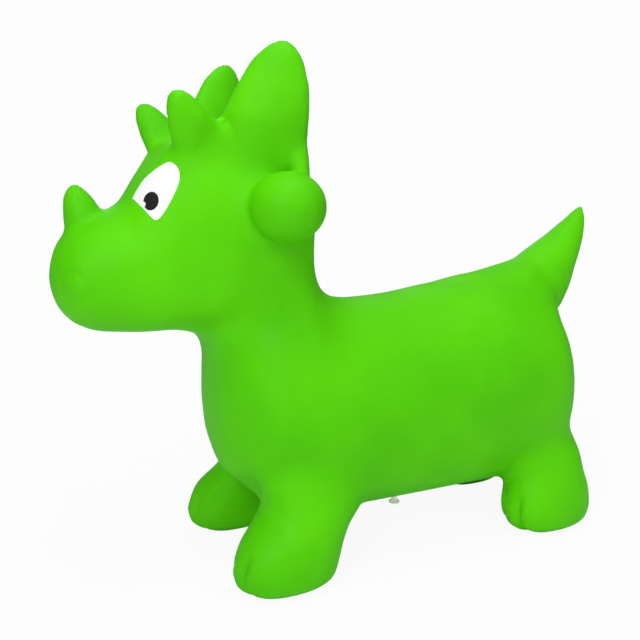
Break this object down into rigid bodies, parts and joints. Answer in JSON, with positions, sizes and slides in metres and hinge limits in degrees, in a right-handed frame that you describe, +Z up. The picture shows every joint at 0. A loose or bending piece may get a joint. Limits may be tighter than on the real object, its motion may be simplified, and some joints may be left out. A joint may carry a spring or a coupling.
{
  "type": "inflatable animal hopper",
  "caption": "Dinosaur-shaped inflatable hopper: hollow soft skin with rounded legs, tail, ears, horns, ball-ended side handles and a belly air valve with a push-in plug.",
  "frame": {"origin": "on the floor, under the middle of the animal's length and width", "axes": "+X from the nose to the tail, +Z up, +Y to the animal's right-hand side; XZ is its mirror plane"},
  "size_m": [0.613, 0.2648, 0.502],
  "materials": {
    "skin": "satin soft vinyl, apple green",
    "plug": "natural soft plastic, ivory"
  },
  "bodies": {
    "hopper": {"skin": "skin"},
    "plug": {"valve_plug": "plug"}
  },
  "joints": [
    {"name": "plug_slide", "type": "slide", "parent": "hopper", "child": "plug", "axis": [0, 0, -1], "range_m": [-0.0175, 0.014]}
  ]
}
